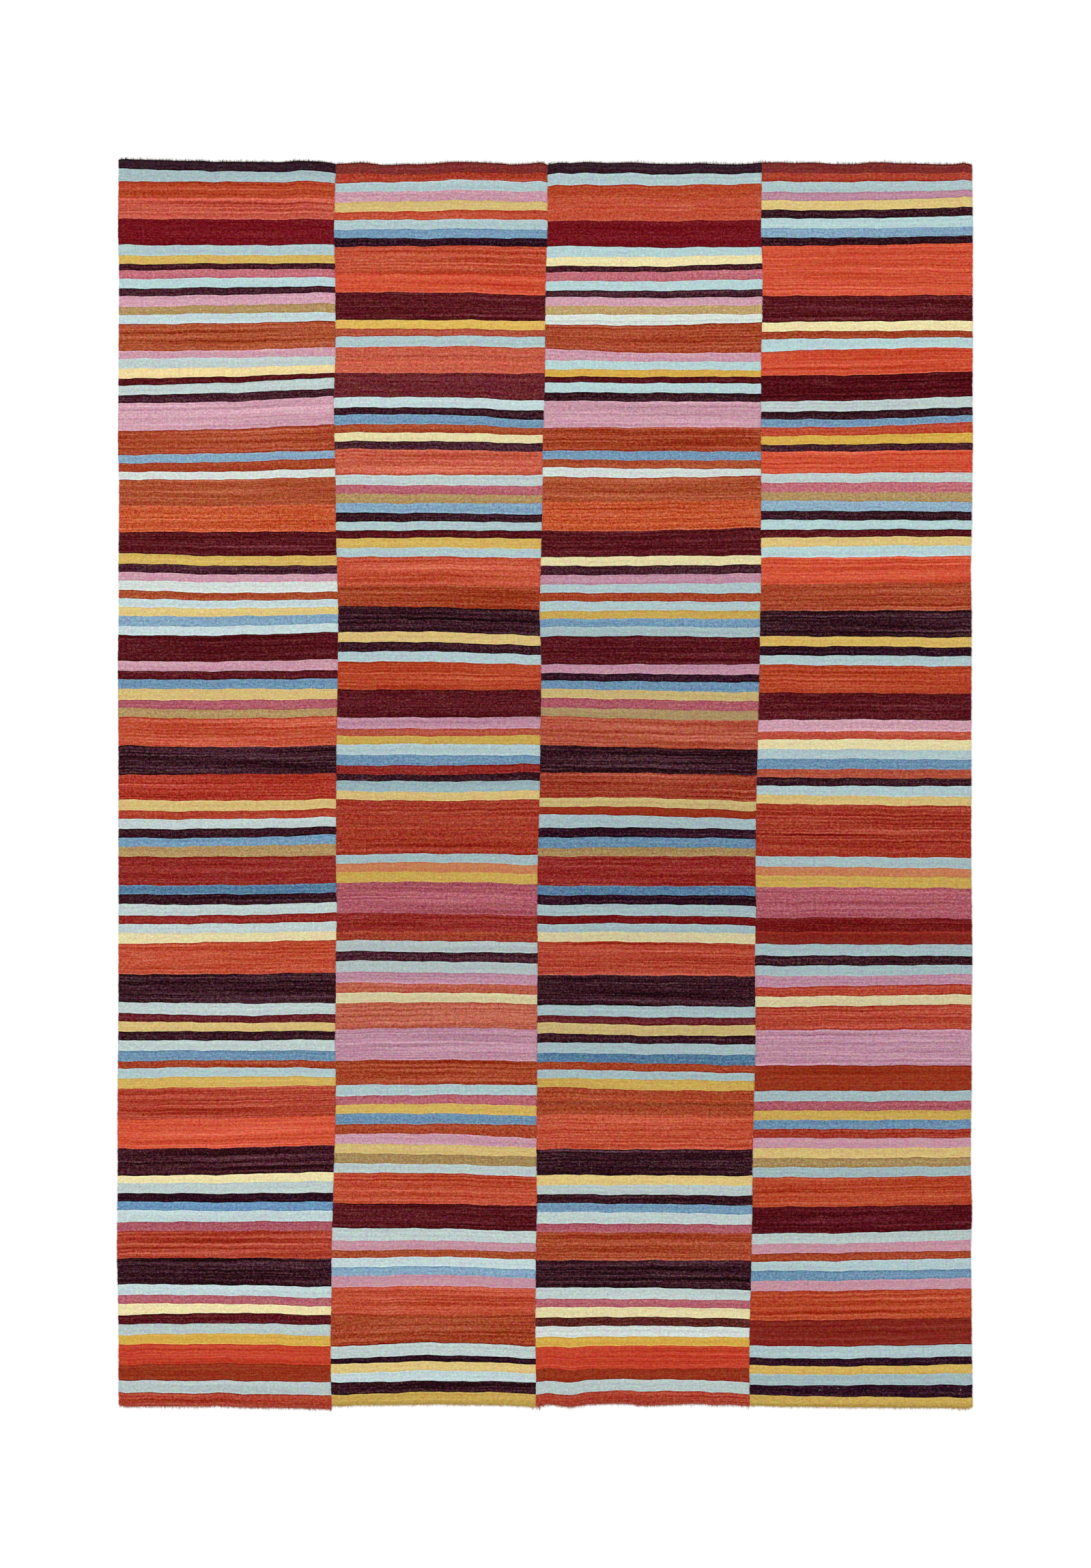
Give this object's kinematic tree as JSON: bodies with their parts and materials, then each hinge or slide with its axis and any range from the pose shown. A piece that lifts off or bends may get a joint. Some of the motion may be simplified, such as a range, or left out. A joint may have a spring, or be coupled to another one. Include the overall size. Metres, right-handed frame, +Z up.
{
  "type": "kilim",
  "caption": "Flat woven wool floor rug of long striped strips sewn selvedge to selvedge, with the warp cut short along both ends.",
  "frame": {"origin": "middle of the rug's underside, at the centre of its outline, on the floor", "axes": "+X across the rug along the weft, +Y along the strips towards the end that is at the top of the picture, +Z up out of the face"},
  "size_m": [2.0054, 2.943, 0.003],
  "materials": {
    "wool_weave": "matte weft-faced wool weave in stripes of madder red, aubergine, gold, rose and pale blue",
    "cut_warp_ends": "matte short cut wool ends"
  },
  "bodies": {
    "root": {"strip_1": "wool_weave", "strip_1_top_ends": "cut_warp_ends", "strip_1_bottom_ends": "cut_warp_ends", "strip_2": "wool_weave", "strip_2_top_ends": "cut_warp_ends", "strip_2_bottom_ends": "cut_warp_ends", "strip_3": "wool_weave", "strip_3_top_ends": "cut_warp_ends", "strip_3_bottom_ends": "cut_warp_ends", "strip_4": "wool_weave", "strip_4_top_ends": "cut_warp_ends", "strip_4_bottom_ends": "cut_warp_ends"}
  },
  "joints": []
}
